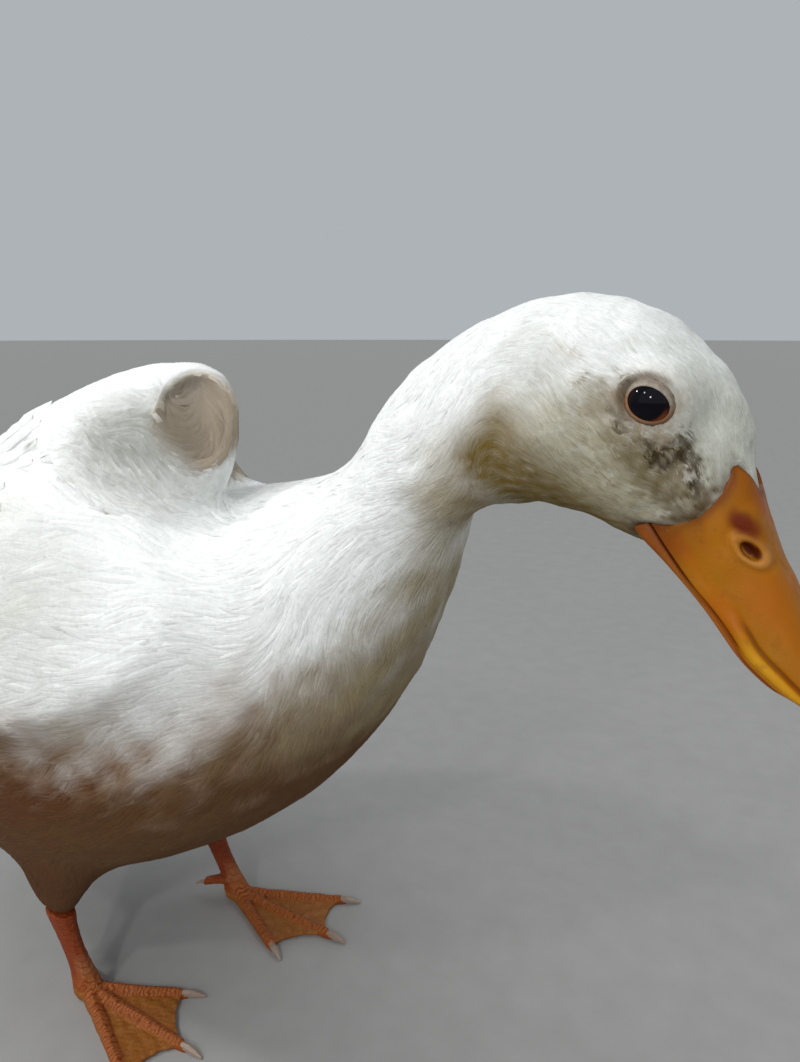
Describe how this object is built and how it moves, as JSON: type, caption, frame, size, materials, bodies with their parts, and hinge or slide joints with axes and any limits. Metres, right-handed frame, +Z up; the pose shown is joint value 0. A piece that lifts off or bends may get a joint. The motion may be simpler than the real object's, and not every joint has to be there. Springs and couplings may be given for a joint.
{
  "type": "duck",
  "caption": "White domestic duck, life size, standing on webbed feet with its neck stretched forward, its bill pointed down and its folded wings lifted off its back.",
  "frame": {"origin": "on the floor, under the middle of the duck's box", "axes": "+X the way the duck faces, +Y its left side, +Z up"},
  "size_m": [0.5012, 0.1744, 0.3054],
  "materials": {
    "plumage": "soft white feathers, soiled on the breast, the cheeks and the wings' leading edges",
    "bill": "orange-yellow horny skin, satin",
    "leg_skin": "orange scaled skin, satin",
    "claw": "pale horn",
    "eye": "wet, near black brown"
  },
  "bodies": {
    "root": {"head": "plumage", "neck_upper": "plumage", "neck_lower": "plumage", "trunk": "plumage", "rump": "plumage", "tail": "plumage", "wing_right": "plumage", "flight_feathers_right": "plumage", "side_feathers_right": "plumage", "thigh_right": "plumage", "shank_right": "leg_skin", "foot_right": "leg_skin", "claw_right_inner": "claw", "claw_right_middle": "claw", "claw_right_outer": "claw", "claw_right_hind": "claw", "eye_right": "eye", "wing_left": "plumage", "flight_feathers_left": "plumage", "side_feathers_left": "plumage", "thigh_left": "plumage", "shank_left": "leg_skin", "foot_left": "leg_skin", "claw_left_inner": "claw", "claw_left_middle": "claw", "claw_left_outer": "claw", "claw_left_hind": "claw", "eye_left": "eye", "bill_upper": "bill", "bill_lower": "bill"}
  },
  "joints": []
}
